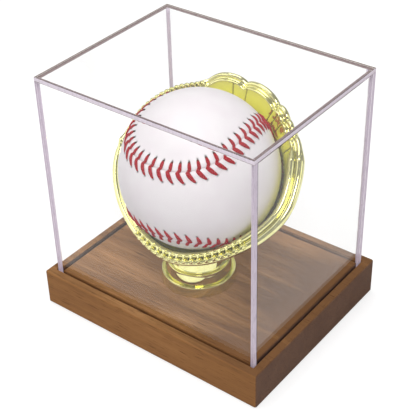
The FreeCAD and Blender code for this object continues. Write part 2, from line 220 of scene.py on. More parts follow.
def walnut():
    # streaks run along X: noise stretched that way, a broad figure on the flat, fine dark pores on top
    look = walnutLook
    material, tree, shader = startMaterial("walnut_satin")
    spot = addNode(tree, "SeparateXYZ", {0: place(tree)}).outputs
    facing = addNode(tree, "SeparateXYZ", {0: addNode(tree, "TexCoord").outputs["Normal"]}).outputs
    flat = span(tree, facing["Z"], 0.5, 0.9, 0.2, 1.0)
    onEnd, onSide = (span(tree, worked(tree, "ABSOLUTE", facing[axis]), 0.5, 0.9, 0, 1) for axis in "XY")

    streaks = noise(tree, place(tree, (0.05, 1, 1)), look["streakSize"], 8, 0.62, 0.25)
    calm = mixed(tree, flat, span(tree, streaks, 0.3, 0.7, 0.39, 0.57), streaks)  # sawn sides show less streak
    figure = noise(tree, place(tree, (0.13, 1, 1)), look["figureSize"], 5, 0.55, 0.9)
    figure = mixed(tree, flat, (0.5, 0.5, 0.5), span(tree, figure, 0.3, 0.7, 0.1, 0.9))
    # painted shade on the top face, growing towards +X
    shadeFrom, shadeTo, shadeDepth = look["rightShade"]
    rightShade = worked(tree, "MULTIPLY", span(tree, spot["X"], shadeFrom, shadeTo, 0, shadeDepth), flat)
    tone = worked(tree, "SUBTRACT", worked(tree, "ADD", calm, figure), rightShade)
    plank = ramp(tree, span(tree, tone, *look["tones"], 0, 1),
                 (0, look["dark"]), (0.5, look["middle"]), (1, look["pale"]))
    pores = noise(tree, place(tree, (0.05, 1, 1)), look["poreSize"], 3, 0.55)
    pores = ramp(tree, pores, (0.58, 0.0), (0.70, 1.0))
    plank = mixed(tree, pores, plank, look["pore"])

    # painted shade in the groove: inside the rim on both axes, and below the board's top
    past = [worked(tree, "SUBTRACT", worked(tree, "ABSOLUTE", spot[axis]), half - look["rim"])
            for axis, half in zip("XY", boardHalf)]
    inRim = span(tree, worked(tree, "MAXIMUM", *past), -look["grooveLip"], 0.0, 1, 0)
    bottom, top = (boardTop - depth for depth in look["grooveDeep"])
    grooveShade = worked(tree, "MULTIPLY", inRim, span(tree, spot["Z"], bottom, top, 1, 0))
    plank = mixed(tree, grooveShade, plank, look["groove"])

    plank = mixed(tree, onSide, plank, mixed(tree, 1.0, plank, look["side"], "MULTIPLY"))
    plank = mixed(tree, onEnd, plank, mixed(tree, 1.0, plank, look["endGrain"], "MULTIPLY"))
    tree.links.new(plank, shader.inputs["Base Color"])
    tree.links.new(span(tree, streaks, 0.3, 0.7, *look["gloss"]), shader.inputs["Roughness"])
    bump(tree, shader, worked(tree, "SUBTRACT", streaks, pores), *look["relief"])
    setSockets(shader, Specular_IOR_Level=look["specular"])
    return material


goldLook = {
    "deep": (0.74, 0.71, 0.28), "bright": (0.86, 0.83, 0.42), "gloss": (0.03, 0.08),
    "flowSize": 160, "peelSize": 900, "peel": (0.10, 0.05),
    "paintedBounce": (0.93, 0.925, 0.15), "bounceMetal": 0.78,  # painted light: deeper yellow in the pocket for light bounced between ball and gold, and less metal there
    # painted shade in the seam creases and between the lace straps
    "shadeColour": (0.20, 0.17, 0.04),
}


def gold():
    # thin bright metal on moulded plastic: mirror gloss, a slight orange peel, a painted yellow in the pocket
    # for light bounced between ball and gold, and painted shade in seams and between lace straps
    material, tree, shader = startMaterial("gold_metallised")
    flow = noise(tree, place(tree), goldLook["flowSize"], 3, 0.5)
    metal = mixed(tree, span(tree, flow, 0.3, 0.7, 0, 1), goldLook["deep"], goldLook["bright"])
    # painted light in the pocket: a deeper yellow for light bounced between ball and gold, and less metal
    paintedBounce = attribute(tree, "pocketBounce")
    metal = mixed(tree, paintedBounce, metal, goldLook["paintedBounce"])
    # painted shade in the seam creases and between the lace straps
    metal = mixed(tree, attribute(tree, "groove"), metal, goldLook["shadeColour"])
    tree.links.new(metal, shader.inputs["Base Color"])
    tree.links.new(span(tree, paintedBounce, 0, 1, 1.0, goldLook["bounceMetal"]), shader.inputs["Metallic"])
    peel = noise(tree, place(tree), goldLook["peelSize"], 2, 0.4)
    tree.links.new(span(tree, peel, 0.3, 0.7, *goldLook["gloss"]), shader.inputs["Roughness"])
    bump(tree, shader, peel, *goldLook["peel"])
    return material


leatherLook = {"white": (0.86, 0.80, 0.83), "warm": (0.89, 0.85, 0.865), "worn": (0.70, 0.52, 0.54),
               "hole": (0.05, 0.045, 0.04), "gloss": (0.34, 0.5), "specular": 0.45,
               "blotchSize": 70, "grainSize": 1900, "grain": (0.10, 0.06)}


def leather():
    # white hide: soft blotches, fine pores, greyer along the seam and painted shade in the needle holes
    material, tree, shader = startMaterial("leather_white")
    blotch = noise(tree, place(tree), leatherLook["blotchSize"], 5, 0.6)
    hide = mixed(tree, span(tree, blotch, 0.35, 0.65, 0, 1), leatherLook["white"], leatherLook["warm"])
    hide = mixed(tree, attribute(tree, "nearSeam"), hide, leatherLook["worn"])
    # painted shade in the needle holes
    hide = mixed(tree, attribute(tree, "holeShade"), hide, leatherLook["hole"])
    tree.links.new(hide, shader.inputs["Base Color"])
    grain = addNode(tree, "TexVoronoi", {"Vector": place(tree), "Scale": leatherLook["grainSize"]})
    tree.links.new(span(tree, blotch, 0.3, 0.7, *leatherLook["gloss"]), shader.inputs["Roughness"])
    bump(tree, shader, grain.outputs["Distance"], *leatherLook["grain"])
    setSockets(shader, Specular_IOR_Level=leatherLook["specular"])
    return material


threadLook = {"red": (0.34, 0.004, 0.012), "bright": (0.46, 0.010, 0.022), "tip": (0.050, 0.030, 0.018),
              "twist": (1, 3.2, 1), "relief": (0.5, 0.12), "gloss": 0.75, "specular": 0.1}


def thread():
    # twisted strands: slanting bands on the tube's own map, painted shade where it dives into its hole
    material, tree, shader = startMaterial("thread_red")
    alongTube = addNode(tree, "UVMap", uv_map="along").outputs["UV"]
    twist = addNode(tree, "Mapping", {"Vector": alongTube, "Scale": threadLook["twist"]}).outputs["Vector"]
    strands = addNode(tree, "TexWave", {"Vector": twist, "Scale": 1.0, "Distortion": 0.4},
                      bands_direction="DIAGONAL").outputs["Fac"]
    red = mixed(tree, strands, threadLook["red"], threadLook["bright"])
    # painted shade at the tip that dives into the hole
    red = mixed(tree, attribute(tree, "holeShade"), red, threadLook["tip"])
    tree.links.new(red, shader.inputs["Base Color"])
    bump(tree, shader, strands, *threadLook["relief"])
    setSockets(shader, Roughness=threadLook["gloss"], Specular_IOR_Level=threadLook["specular"])
    return material


def fibre(name, dark, pale, scale, stretch, depth):
    # wound yarn or felt: stretched noise gives the strands their tone and relief
    material, tree, shader = startMaterial(name)
    strands = noise(tree, place(tree, stretch), scale, 5, 0.6, 0.6)
    tree.links.new(ramp(tree, strands, (0.32, dark), (0.68, pale)), shader.inputs["Base Color"])
    bump(tree, shader, strands, 0.7, depth)
    setSockets(shader, Roughness=0.92, Sheen_Weight=0.3)
    return material


def rubber(name, dark, pale):
    # moulded rubber or cork: grains of two tones, slightly rough
    material, tree, shader = startMaterial(name)
    grain = noise(tree, place(tree), 700, 6, 0.65)
    tree.links.new(ramp(tree, grain, (0.35, dark), (0.7, pale)), shader.inputs["Base Color"])
    bump(tree, shader, grain, 0.4, 0.2)
    setSockets(shader, Roughness=0.75)
    return material


steelLook = {"dark": (0.42, 0.43, 0.44), "pale": (0.66, 0.66, 0.65), "gloss": (0.24, 0.42),
             "lineSize": 600, "relief": (0.2, 0.05)}


def steel():
    # zinc plate: fine turned scratches round the bolt's axis
    material, tree, shader = startMaterial("steel_zinc")
    lines = noise(tree, place(tree, (1, 1, 14)), steelLook["lineSize"], 4, 0.6)
    plate = ramp(tree, lines, (0.3, steelLook["dark"]), (0.7, steelLook["pale"]))
    tree.links.new(plate, shader.inputs["Base Color"])
    tree.links.new(span(tree, lines, 0.3, 0.7, *steelLook["gloss"]), shader.inputs["Roughness"])
    bump(tree, shader, lines, *steelLook["relief"])
    setSockets(shader, Metallic=1.0)
    return material


acrylicLook = {"gloss": (0.0, 0.012), "ior": 1.49, "mirror": (0.12, 0.12, 0.12, 1), "markSize": 40,
               # painted light on the cut faces: the rim's colour from behind is a painted reflection of the
               # wood, and the glow is painted
               "edge": (0.60, 0.515, 0.61), "rim": (0.70, 0.62, 0.70), "rimWoodReflection": (0.36, 0.295, 0.26),
               "joint": (0.20, 0.135, 0.135), "paintedGlow": 0.2, "edgeGloss": (0.2, 0.4),
               "sawSize": 900, "sawShow": 0.35}


def acrylic():
    # clear sheet that lets lamps through; the gloss varies a little with handling marks
    material, tree, shader = startMaterial("acrylic_face")
    marks = noise(tree, place(tree), acrylicLook["markSize"], 4, 0.6)
    tree.links.new(span(tree, marks, 0.45, 0.75, *acrylicLook["gloss"]), shader.inputs["Roughness"])
    setSockets(shader, Base_Color=(1, 1, 1, 1), Transmission_Weight=1.0, IOR=acrylicLook["ior"],
               Specular_Tint=acrylicLook["mirror"])
    ray = addNode(tree, "LightPath").outputs
    passing = worked(tree, "MAXIMUM", ray["Is Shadow Ray"], ray["Is Diffuse Ray"])
    clear = addNode(tree, "BsdfTransparent")
    both = addNode(tree, "MixShader", {0: passing, 1: shader.outputs[0], 2: clear.outputs[0]})
    tree.links.new(both.outputs[0], tree.nodes["Material Output"].inputs["Surface"])
    return material


def acrylicCut(name, front, behind):
    # sawn edge: milky lilac from outside; seen from inside the sheet, a painted reflection of the wood far
    # below; every cut face also glows faintly in its own colour, which is painted light
    material, tree, shader = startMaterial(name)
    saw = noise(tree, place(tree, (1, 1, 0.2)), acrylicLook["sawSize"], 3, 0.6)
    # painted reflection: back faces, seen from inside the sheet, take the colour of the wood below
    side = addNode(tree, "NewGeometry").outputs["Backfacing"]
    tone = mixed(tree, side, front, behind)
    sawn = ramp(tree, saw, (0.3, 0.72), (0.7, 1.0))
    colour = mixed(tree, acrylicLook["sawShow"], tone, sawn, "MULTIPLY")
    tree.links.new(colour, shader.inputs["Base Color"])
    # painted glow: the cut face shines faintly with its own colour
    tree.links.new(colour, shader.inputs["Emission Color"])
    tree.links.new(span(tree, saw, 0.3, 0.7, *acrylicLook["edgeGloss"]), shader.inputs["Roughness"])
    setSockets(shader, Emission_Strength=acrylicLook["paintedGlow"])
    return material


walnutWood, goldMetal, whiteLeather, redThread = walnut(), gold(), leather(), thread()
acrylicFace = acrylic()
acrylicEdge = acrylicCut("acrylic_edge", acrylicLook["edge"], acrylicLook["edge"])
acrylicRim = acrylicCut("acrylic_rim", acrylicLook["rim"], acrylicLook["rimWoodReflection"])
acrylicJoint = acrylicCut("acrylic_joint", acrylicLook["joint"], acrylicLook["joint"])
cadLooks = {
    "base_board": walnutWood,
    "base_felt": fibre("felt_green", (0.006, 0.022, 0.012), (0.02, 0.055, 0.032), 1500, (1, 1, 1), 0.3),
    "ball_cotton_winding": fibre("cotton_yarn", (0.55, 0.50, 0.42), (0.80, 0.76, 0.68), 900, (1, 1, 6), 0.3),
    "ball_wool_outer": fibre("wool_grey", (0.16, 0.155, 0.15), (0.34, 0.33, 0.31), 500, (1, 1, 6), 0.6),
    "ball_wool_middle": fibre("wool_white", (0.50, 0.47, 0.42), (0.78, 0.74, 0.68), 500, (6, 1, 1), 0.6),
    "ball_wool_inner": fibre("wool_grey_inner", (0.14, 0.135, 0.13), (0.32, 0.31, 0.29), 450, (1, 6, 1), 0.6),
    "ball_red_rubber": rubber("rubber_red", (0.16, 0.012, 0.010), (0.32, 0.03, 0.02)),
    "ball_cork_core": rubber("cork_mix", (0.10, 0.045, 0.02), (0.36, 0.20, 0.10)),
}
cadLooks["ball_rubber_gasket"] = cadLooks["ball_red_rubber"]
cadLooks["ball_rubber_half_upper"] = rubber("rubber_black", (0.006, 0.006, 0.006), (0.03, 0.03, 0.03))
cadLooks["ball_rubber_half_lower"] = cadLooks["ball_rubber_half_upper"]
zincSteel = steel()
for node in ("holder_bolt", "holder_washer", "holder_nut"):
    cadLooks[node] = zincSteel
for node, material in cadLooks.items():
    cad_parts[node].data.materials.clear()
    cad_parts[node].data.materials.append(material)
print("materials made, plain nodes dressed:", len(cadLooks))


# the ball
ballLow, ballHigh = corners("ball_cotton_winding")
ballCentre = (ballLow + ballHigh) / 2
ball = {
    "radius": 36.5, "leather": 1.4, "roll": -92.8,
    "seamLift": 1.116, "seamTrim": -0.038, "seamSway": 0.355,
    "stitchPitch": 4.3, "firstStitch": 2.5, "samplesPerStitch": 12, "spineReach": 1.9,
    "valley": (0.16, 0.30), "welt": (0.32, 1.9, 1.7),  # depth and width; height, place and width
    "holeWide": 0.44, "holeDeep": 0.42, "seamWear": (0.30, 0.32),  # wear: how much, how wide
    "threadFlat": 0.5, "threadSides": 8, "threadSteps": 13, "threadTip": 0.02,
    "threadBow": (0.10, 0.16, 0.34), "threadBend": 1.3,  # lift at the seam, bow, dive; bend along the seam
    # shares of a leg's length: end of the hook, full width, start of the taper and of the dive; fade of the
    # painted shade
    "threadAt": {"hook": 0.22, "full": 0.4, "taper": 0.45, "dive": 0.82, "fade": 0.12}, "threadThin": 0.85,
    # lengths from the seam at which the leather has a row of points, then even shares of the rest
    "nearRows": (0.03, 0.2, 0.38, 0.6, 0.85, 1.15, 1.5, 1.9, 2.35, 2.8, 3.2, 3.55, 3.85, 4.1, 4.35,
                 4.6, 4.85, 5.15, 5.55, 6.1, 6.9, 8.0),
    "farRows": 14, "insideRows": (0, 6, 12, 18, 22, 26, 30, 35),
    # a stitch's leg on each side of the seam: both its ends along and away from the seam, how far back it
    # hooks at the seam, its half width, its taper, and the share of its length after which it carries painted
    # shade
    "legs": {
        1: {"along": (0.0, 0.4), "hook": 1.0, "away": (-0.4, 4.4), "half": 0.82, "taper": 0.38, "dark": 0.76},
        -1: {"along": (-1.2, 1.65), "hook": 0.0, "away": (-0.2, 5.3), "half": 0.98, "taper": 0.45, "dark": 0.91},
    },
}


# seam: a wave round the sphere, its rise swings twice up and twice down while the heading goes once round
def seamAt(t):
    rise = ball["seamLift"] * np.cos(t) + ball["seamTrim"] * np.cos(3 * t)
    heading = t / 2 + ball["seamSway"] * np.sin(2 * t)
    return np.stack([np.cos(rise) * np.cos(heading), np.cos(rise) * np.sin(heading), np.sin(rise)], -1)


seamFine = np.linspace(0, 4 * np.pi, 4801)
finePoints = seamAt(seamFine)
fineSteps = np.linalg.norm(np.diff(finePoints, axis=0), axis=1)
fineTravel = np.concatenate([[0], np.cumsum(fineSteps)]) * ball["radius"]
seamLength = fineTravel[-1]
pairCount = round(seamLength / ball["stitchPitch"])
stitchStep = seamLength / pairCount


# unit point, forward and sideways directions at a travelled length along the seam
def seamFrame(travel):
    t = np.interp(travel % seamLength, fineTravel, seamFine)
    here = seamAt(t)
    forward = unit(seamAt(t + 1e-4) - seamAt(t - 1e-4))
    return here, forward, np.cross(here, forward)


def weltAt(away):  # the swelling beside the seam, a bell curve
    height, at, wide = ball["welt"]
    return height * np.exp(-((away - at) / wide) ** 2)


# radial lift of the leather: it dips into the seam, swells beside it and is pricked at each stitch
def leatherLift(away, travel, leg):
    deep, wide = ball["valley"]
    lift = weltAt(away) - deep * np.exp(-(away / wide) ** 2)
    along = (travel - ball["firstStitch"] - leg["along"][1] + stitchStep / 2) % stitchStep - stitchStep / 2
    prick = np.exp(-((away - leg["away"][1]) ** 2 + along ** 2) / ball["holeWide"] ** 2)
    return lift - ball["holeDeep"] * prick, prick


def distanceToSeam(points):  # arc length to the nearest of the fine seam points, and which one
    coarse = finePoints[:-1:4]
    nearest = np.concatenate([(block @ coarse.T).argmax(1) for block in np.array_split(points, 24)]) * 4
    nearby = (nearest[:, None] + np.arange(-4, 5)) % (len(finePoints) - 1)
    closeness = np.einsum("nk,nwk->nw", points, finePoints[nearby])
    best = closeness.argmax(1)
    angle = np.arccos(np.clip(closeness.max(1), -1, 1))
    return angle * ball["radius"], nearby[np.arange(len(points)), best]


def placeBall(points):  # rolled to the photograph's lie and set on the glove
    return turned(points, ball["roll"]) + ballCentre


# leather panel: each seam point runs over the sphere to its own place on the panel's spine, first by the
# near rows' lengths and then by even shares; the rows then turn in and run back under the leather
def leatherPanel(name, spineUp, spineAlong):
    travel = np.linspace(0, seamLength, pairCount * ball["samplesPerStitch"], endpoint=False)
    edge, forward, side = seamFrame(travel)
    lean = np.arctan2(edge @ spineAlong, edge @ spineUp)
    lean = ball["spineReach"] * np.tanh(lean / ball["spineReach"])
    spine = np.sin(lean)[:, None] * spineAlong + np.cos(lean)[:, None] * spineUp
    angle = np.arccos(np.clip((edge * spine).sum(1), -1, 1))
    aim = unit(spine - np.cos(angle)[:, None] * edge)
    near = np.array(ball["nearRows"]) / ball["radius"]
    share = np.linspace(0, 1, ball["farRows"] + 1)[1:]
    far = near[-1] + share[:, None] * (angle - near[-1])
    reach = np.concatenate([np.tile(near[:, None], (1, len(travel))), far])
    outer = np.cos(reach)[..., None] * edge + np.sin(reach)[..., None] * aim
    away, nearest = distanceToSeam(outer.reshape(-1, 3))
    leg = ball["legs"][int(np.sign((aim * side).sum()))]
    lift, prick = leatherLift(away, fineTravel[nearest], leg)
    outside = outer * (ball["radius"] + lift.reshape(reach.shape))[..., None]
    inside = outer[list(ball["insideRows"])] * (ball["radius"] - ball["leather"])
    points = np.concatenate([outside[::-1], inside])
    quads, uv = gridQuads(*points.shape[:2], wrapCols=True)
    wear, wearWide = ball["seamWear"]
    seam = wear * np.exp(-(away / wearWide) ** 2).reshape(reach.shape)
    plain = np.zeros(inside.shape[:2])
    # marks: wear along the seam, and painted shade in the needle holes
    marks = {"nearSeam": np.concatenate([seam[::-1], plain]),
             "holeShade": np.concatenate([prick.reshape(reach.shape)[::-1], plain])}
    return meshPiece(name, placeBall(points.reshape(-1, 3)), quads, uv, marks)


for name, spineUp, spineAlong in (("ball_leather_upper", (0, 0, 1), (0, 1, 0)),
                                  ("ball_leather_lower", (0, 0, -1), (1, 0, 0))):
    panel = leatherPanel(name + "_cover", np.array(spineUp, float), np.array(spineAlong, float))
    dress(panel, "ball", "leather", whiteLeather, name)


# stitch legs: from the seam each thread runs outwards and ahead in a low bow, then dives into its hole
def stitchLegs():
    w, shares, thin = np.linspace(0, 1, ball["threadSteps"]), ball["threadAt"], ball["threadThin"]
    stations = ball["firstStitch"] + np.arange(pairCount) * stitchStep
    start, bowed, dive = ball["threadBow"]
    height = start + bowed * np.sin(np.pi * w) - dive * ease(w, shares["dive"], 1)
    paths, outs, widths, holes = [], [], [], []
    for sign, leg in ball["legs"].items():
        along = leg["along"][0] + np.ptp(leg["along"]) * w ** ball["threadBend"]
        along = along - leg["hook"] * (1 - ease(w, 0, shares["hook"]))
        away = leg["away"][0] + np.ptp(leg["away"]) * w
        here, forward, side = seamFrame(stations[:, None] + along)
        swing = away[:, None] / ball["radius"]
        out = np.cos(swing) * here + sign * np.sin(swing) * side
        width = leg["half"] * (thin + (1 - thin) * ease(w, 0, shares["full"]))
        width = width * (1 - leg["taper"] * ease(w, shares["taper"], 1))
        width[[0, -1]] = ball["threadTip"]  # both ends close to a point
        paths.append(out * (ball["radius"] + weltAt(away) + height)[:, None])
        outs.append(out)
        widths.append(np.tile(width, (pairCount, 1)))
        # painted shade towards the tip where the thread enters its hole
        holes.append(np.tile(ease(w, leg["dark"], leg["dark"] + shares["fade"]), pairCount))
    paths, outs, widths = np.concatenate(paths), np.concatenate(outs), np.concatenate(widths)
    across = unit(np.cross(outs, unit(np.gradient(paths, axis=1))))
    points, quads, uv = tubes(paths, across, outs, widths, widths * ball["threadFlat"], ball["threadSides"])
    holeShade = np.repeat(np.concatenate(holes), ball["threadSides"])
    return meshPiece("ball_stitch_threads", placeBall(points), quads, uv, {"holeShade": holeShade})


dress(stitchLegs(), "ball", "red_thread", redThread, "ball_stitches")
print("ball made:", pairCount, "pairs of stitch legs")


# the glove, in its own frame: rho out from the mouth's axis, h along it, phi round it from the fingertips
glove = {
    "tilt": 45.0, "yaw": 6.0, "columns": 1020,
    "seatRadius": 37.55, "wallCentre": 5.02, "wallRadius": 45.29, "wallDrawn": 43.9,
    # where the fingers and the web begin and end, in degrees of phi
    "fingers": (-34.0, -9.0, 56.0, 68.0), "web": (-94.0, -85.0, -34.0, -9.0),
    # the outer bead's centre every 20 degrees of phi: it draws in at the heel and spreads at the sides
    "railOut": (45.4, 45.4, 45.5, 45.7, 45.0, 44.8, 42.8, 41.5, 41.7,
                42.2, 41.3, 41.2, 42.5, 44.5, 45.0, 44.5, 43.1, 41.4),
    "railInner": (-1.9, 1.25), "railOuter": (-4.5, 1.95), "railApart": 2.55,  # height and radius of each bead
    "swell": (1.13, 0.13),
    "fingerInner": (43.3, -5.0, 0.65), "fingerOuter": (46.3, -5.9, 1.25),
    "fingerSpread": (0.4, -0.6), "spreadOver": (35.0, 62.0),
    "webInner": (-3.6, 0.5), "webOuter": (-3.2, 0.9), "webApart": 2.3,
    "valleys": (-19.0, 5.5, 31.0, 42.0, 50.5, 64.5), "valley": 0.14, "scallop": (2.6, 3.2), "narrowLobe": 17.0,
    "fingerRise": 3.3, "fingerFrom": (26.0, 58.0), "littleFinger": (25.0, 60.0, 0.5),
    "thumb": -86.0, "thumbHalf": 17.0, "thumbRise": 1.7, "knob": (0.7, 3.0),
    "seams": (-2.0, 8.0, 31.0, 36.0, 42.0, 50.5, 57.0), "seamDeep": 0.7, "seamWide": 0.45,
    # the cross-section: polar angles of the pocket's and the outer wall's rows, and of points round each bead
    "seatPolar": (0, 55, 6.0), "wallPolar": (66, -1, -6.0), "drawnOver": (30, 72),
    "beadTurns": {"inner": (195, 160, 125, 90, 55, 20, -15), "outer": (140, 105, 70, 35, 0, -35, -65)},
    # rows up the inside of the lip: rho, its share of the inner bead's rho and h on the rail; rho and h on the
    # fingers; the rail's three again for the web; how far the row follows the fingers' scallops
    "lips": (((33.5, 0, -16.6), (33.5, -16.9), (33.6, 0, -16.6), 0.0),
             ((32.3, 0.1, -10.6), (36.7, -10.2), (37.4, 0, -10.6), 0.35),
             ((18.25, 0.5, -5.4), (40.6, -6.9), (-1.9, 1, -6.4), 0.75)),
    "hollow": (0.3, 0.15, 0.2), "hollowAt": 0.58,  # between the beads: depths, place from inner to outer
    "skirt": ((-0.2, -8.4), (46.9, -9.6), (0.2, -6.6)),  # below the outer bead; rail and web from that bead
    # rows of the cross-section that carry the seams, the pocket's painted bounce light and the painted shade
    # between the straps, then how dark that painted shade is in the seams and between the straps
    "seamRows": (8, 10, 14, 16), "bounceRows": (12, 15), "shadeRows": (17, 19, 21.5, 23.5), "dark": (0.85, 0.75),
}
# each run of lace: where it starts and ends, how it lies on the beads, and how far down the outer bead it goes
lacing = {
    "ballSide": ((190, -0.9), (150, -0.75), (120, -0.35), (90, 0.1), (60, 0.1)),  # flush next to the ball
    "proud": 0.1, "sunk": 1.6, "rimRadius": 43.0, "sides": 12,
    "runs": {
        "heel": {"from": 128.0, "to": 208.0, "loops": 17, "kind": 0, "wide": 1.42, "high": 0.45, "dip": -0.35,
                 "slant": 0.3, "square": 0.25, "outer": (115, 95, 75, 55)},
        "web": {"from": -70.0, "to": -21.0, "loops": 15, "kind": 2, "wide": 0.72, "high": 0.7, "dip": 0.3,
                "slant": 1.5, "square": 0.8, "outer": (95, 60, 25, -10, -45, -80)},
    },
}
phi = np.linspace(-180, 180, glove["columns"], endpoint=False)
isFinger, isWeb = window(phi, *glove["fingers"]), window(phi, *glove["web"])
isRail = 1 - isFinger - isWeb
valleys = np.array(glove["valleys"])
which = np.clip(np.searchsorted(valleys, phi) - 1, 0, len(valleys) - 2)
lobeWide = np.diff(valleys)[which]
fingerX = 2 * (phi - valleys[which]) / lobeWide - 1
fingerBump = 1 - (1 - glove["valley"]) * fingerX ** 2
fingerBump = np.sqrt(np.clip(fingerBump, glove["valley"], 1))  # part of an ellipse
lobeFoot, lobeShare = fingerBump.min(), np.clip(lobeWide / glove["narrowLobe"], 0, 1)
fingerBump = lobeFoot + (fingerBump - lobeFoot) * lobeShare  # narrow ones stay low


def roundTable(values):  # periodic smooth curve through evenly spaced values, read at every phi
    values = np.array(values)
    k = (phi % 360) / (360 / len(values))
    at, t = k.astype(int), k % 1
    a, b, c, d = (values[(at + step) % len(values)] for step in (-1, 0, 1, 2))
    return b + 0.5 * t * (c - a + t * (2 * a - 5 * b + 4 * c - d + t * (3 * (b - c) + d - a)))


railOut = roundTable(glove["railOut"])
swell = glove["swell"][0] + glove["swell"][1] * np.cos(np.radians(phi))
spread = glove["fingerSpread"][0] + np.diff(glove["fingerSpread"]) * ease(phi, *glove["spreadOver"])
knob = glove["knob"][0] * np.exp(-((phi - glove["thumb"]) / glove["knob"][1]) ** 2)
beads = {  # each bead as rho, h and radius, for the rails, the fingers and the web
    "inner": ((railOut - glove["railApart"] * swell, glove["railInner"][0], glove["railInner"][1] * swell),
              (glove["fingerInner"][0] + spread, *glove["fingerInner"][1:]),
              (railOut - glove["webApart"], *glove["webInner"])),
    "outer": ((railOut, glove["railOuter"][0], glove["railOuter"][1] * swell),
              (glove["fingerOuter"][0] + spread, *glove["fingerOuter"][1:]),
              (railOut, glove["webOuter"][0] + knob, glove["webOuter"][1] + knob)),
}


# rho and phi go round in the mouth's plane, h along its axis, which is tilted back and turned to one side
def gloveToWorld(rho, h, angle):
    tilt, yaw, turn = np.radians(glove["tilt"]), np.radians(glove["yaw"]), np.radians(angle)
    side = np.array([np.cos(yaw), np.sin(yaw), 0])
    front = np.array([np.sin(yaw), -np.cos(yaw), 0])
    tips = np.array([0, 0, np.cos(tilt)]) - np.sin(tilt) * front
    mouth = np.array([0, 0, np.sin(tilt)]) + np.cos(tilt) * front
    flat = (rho * np.cos(turn))[..., None] * tips + (rho * np.sin(turn))[..., None] * side
    return flat + h[..., None] * mouth + ballCentre


def blended(places, follow=1.0):  # rho and h of the rail, the fingers and the web, mixed round the glove
    scallop = isFinger * (fingerBump - 1) * follow
    kinds = isRail, isFinger, isWeb
    rho, h = (sum(weight * spot[k] for weight, spot in zip(kinds, places)) for k in (0, 1))
    return rho + glove["scallop"][0] * scallop, h + glove["scallop"][1] * scallop


def beadRows(name):  # rolled edge: points round a small circle
    return [blended([(rho + size * np.cos(turn), h + size * np.sin(turn)) for rho, h, size in beads[name]])
            for turn in np.radians(glove["beadTurns"][name])]


# one cross-section from the middle of the pocket, up to the lip, over the two beads and down the outer wall
def gloveShell():
    rows = []
    for polar in np.radians(np.arange(*glove["seatPolar"])):
        rows.append((np.full_like(phi, glove["seatRadius"] * np.sin(polar)),
                     np.full_like(phi, -glove["seatRadius"] * np.cos(polar))))
    railIn, webIn = beads["inner"][0][0], beads["inner"][2][0]
    for (railAt, railShare, railUp), onFingers, (webAt, webShare, webUp), follow in glove["lips"]:
        onRail, onWeb = (railAt + railShare * railIn, railUp), (webAt + webShare * webIn, webUp)
        rows.append(blended((onRail, onFingers, onWeb), follow))
    rows += beadRows("inner")
    toOuter = glove["hollowAt"]
    rows.append(blended([((1 - toOuter) * a[0] + toOuter * b[0], 0.5 * (a[1] + b[1]) - deep) for a, b, deep in
                         zip(beads["inner"], beads["outer"], glove["hollow"])]))
    rows += beadRows("outer")
    skirtFrom = railOut, spread, railOut
    rows.append(blended([(start + rho, h) for start, (rho, h) in zip(skirtFrom, glove["skirt"])]))

    ridge = glove["fingerRise"] * (fingerBump - fingerBump.min()) / (1 - fingerBump.min()) * isFinger
    littleFrom, littleTo, littleLoss = glove["littleFinger"]
    ridge = ridge * (1 - littleLoss * ease(phi, littleFrom, littleTo))
    thumb = glove["thumbRise"] * np.exp(-((phi - glove["thumb"]) / glove["thumbHalf"]) ** 2)
    for polar in np.arange(*glove["wallPolar"]):
        wall = glove["wallRadius"] + ease(polar, *glove["fingerFrom"]) * (ridge + thumb)
        drawn = (isRail * (railOut - glove["wallDrawn"]) + isFinger * spread) * ease(polar, *glove["drawnOver"])
        rows.append((wall * np.sin(np.radians(polar)) + drawn,
                     glove["wallCentre"] - wall * np.cos(np.radians(polar))))
    rho, h = (np.stack(values) for values in zip(*rows))

    row = np.arange(len(rows))
    # painted shade: darker in the seam creases and in the gaps between the lace straps
    inside, onTop = window(row, *glove["seamRows"]), window(row, *glove["shadeRows"])
    lines = sum(np.exp(-((phi - at) / glove["seamWide"]) ** 2) for at in glove["seams"])
    laced = sum(window(phi % 360, start - 2, start + 1, stop - 1, stop + 2) for start, stop in
                ((run["from"] % 360, run["to"] % 360) for run in lacing["runs"].values()))
    seamShade, laceShade = glove["dark"]
    groove = np.maximum(seamShade * inside[:, None] * lines, laceShade * onTop[:, None] * laced)
    rho = rho + glove["seamDeep"] * inside[:, None] * lines
    rho, h, groove = (throughPoints(values, 2) for values in (rho, h, groove))
    # painted light: the pocket rows get the deeper yellow of light bounced between ball and gold
    pocketBounce = 1 - ease(np.arange(len(rho)) / 2, *glove["bounceRows"])[:, None] + 0 * rho
    points = gloveToWorld(rho, h, phi[None, :] + 0 * rho)
    quads, uv = gridQuads(*rho.shape, wrapCols=True)
    return meshPiece("glove_shell", points.reshape(-1, 3), quads, uv, {"pocketBounce": pocketBounce, "groove": groove})


dress(gloveShell(), "base", "gold_plastic", goldMetal, "glove_cup")


def onBead(rho, h, size, angle, proud):  # a point that much off a bead, at an angle round it
    turn = np.radians(angle)
    return np.stack([rho + (size + proud) * np.cos(turn), h + (size + proud) * np.sin(turn)])


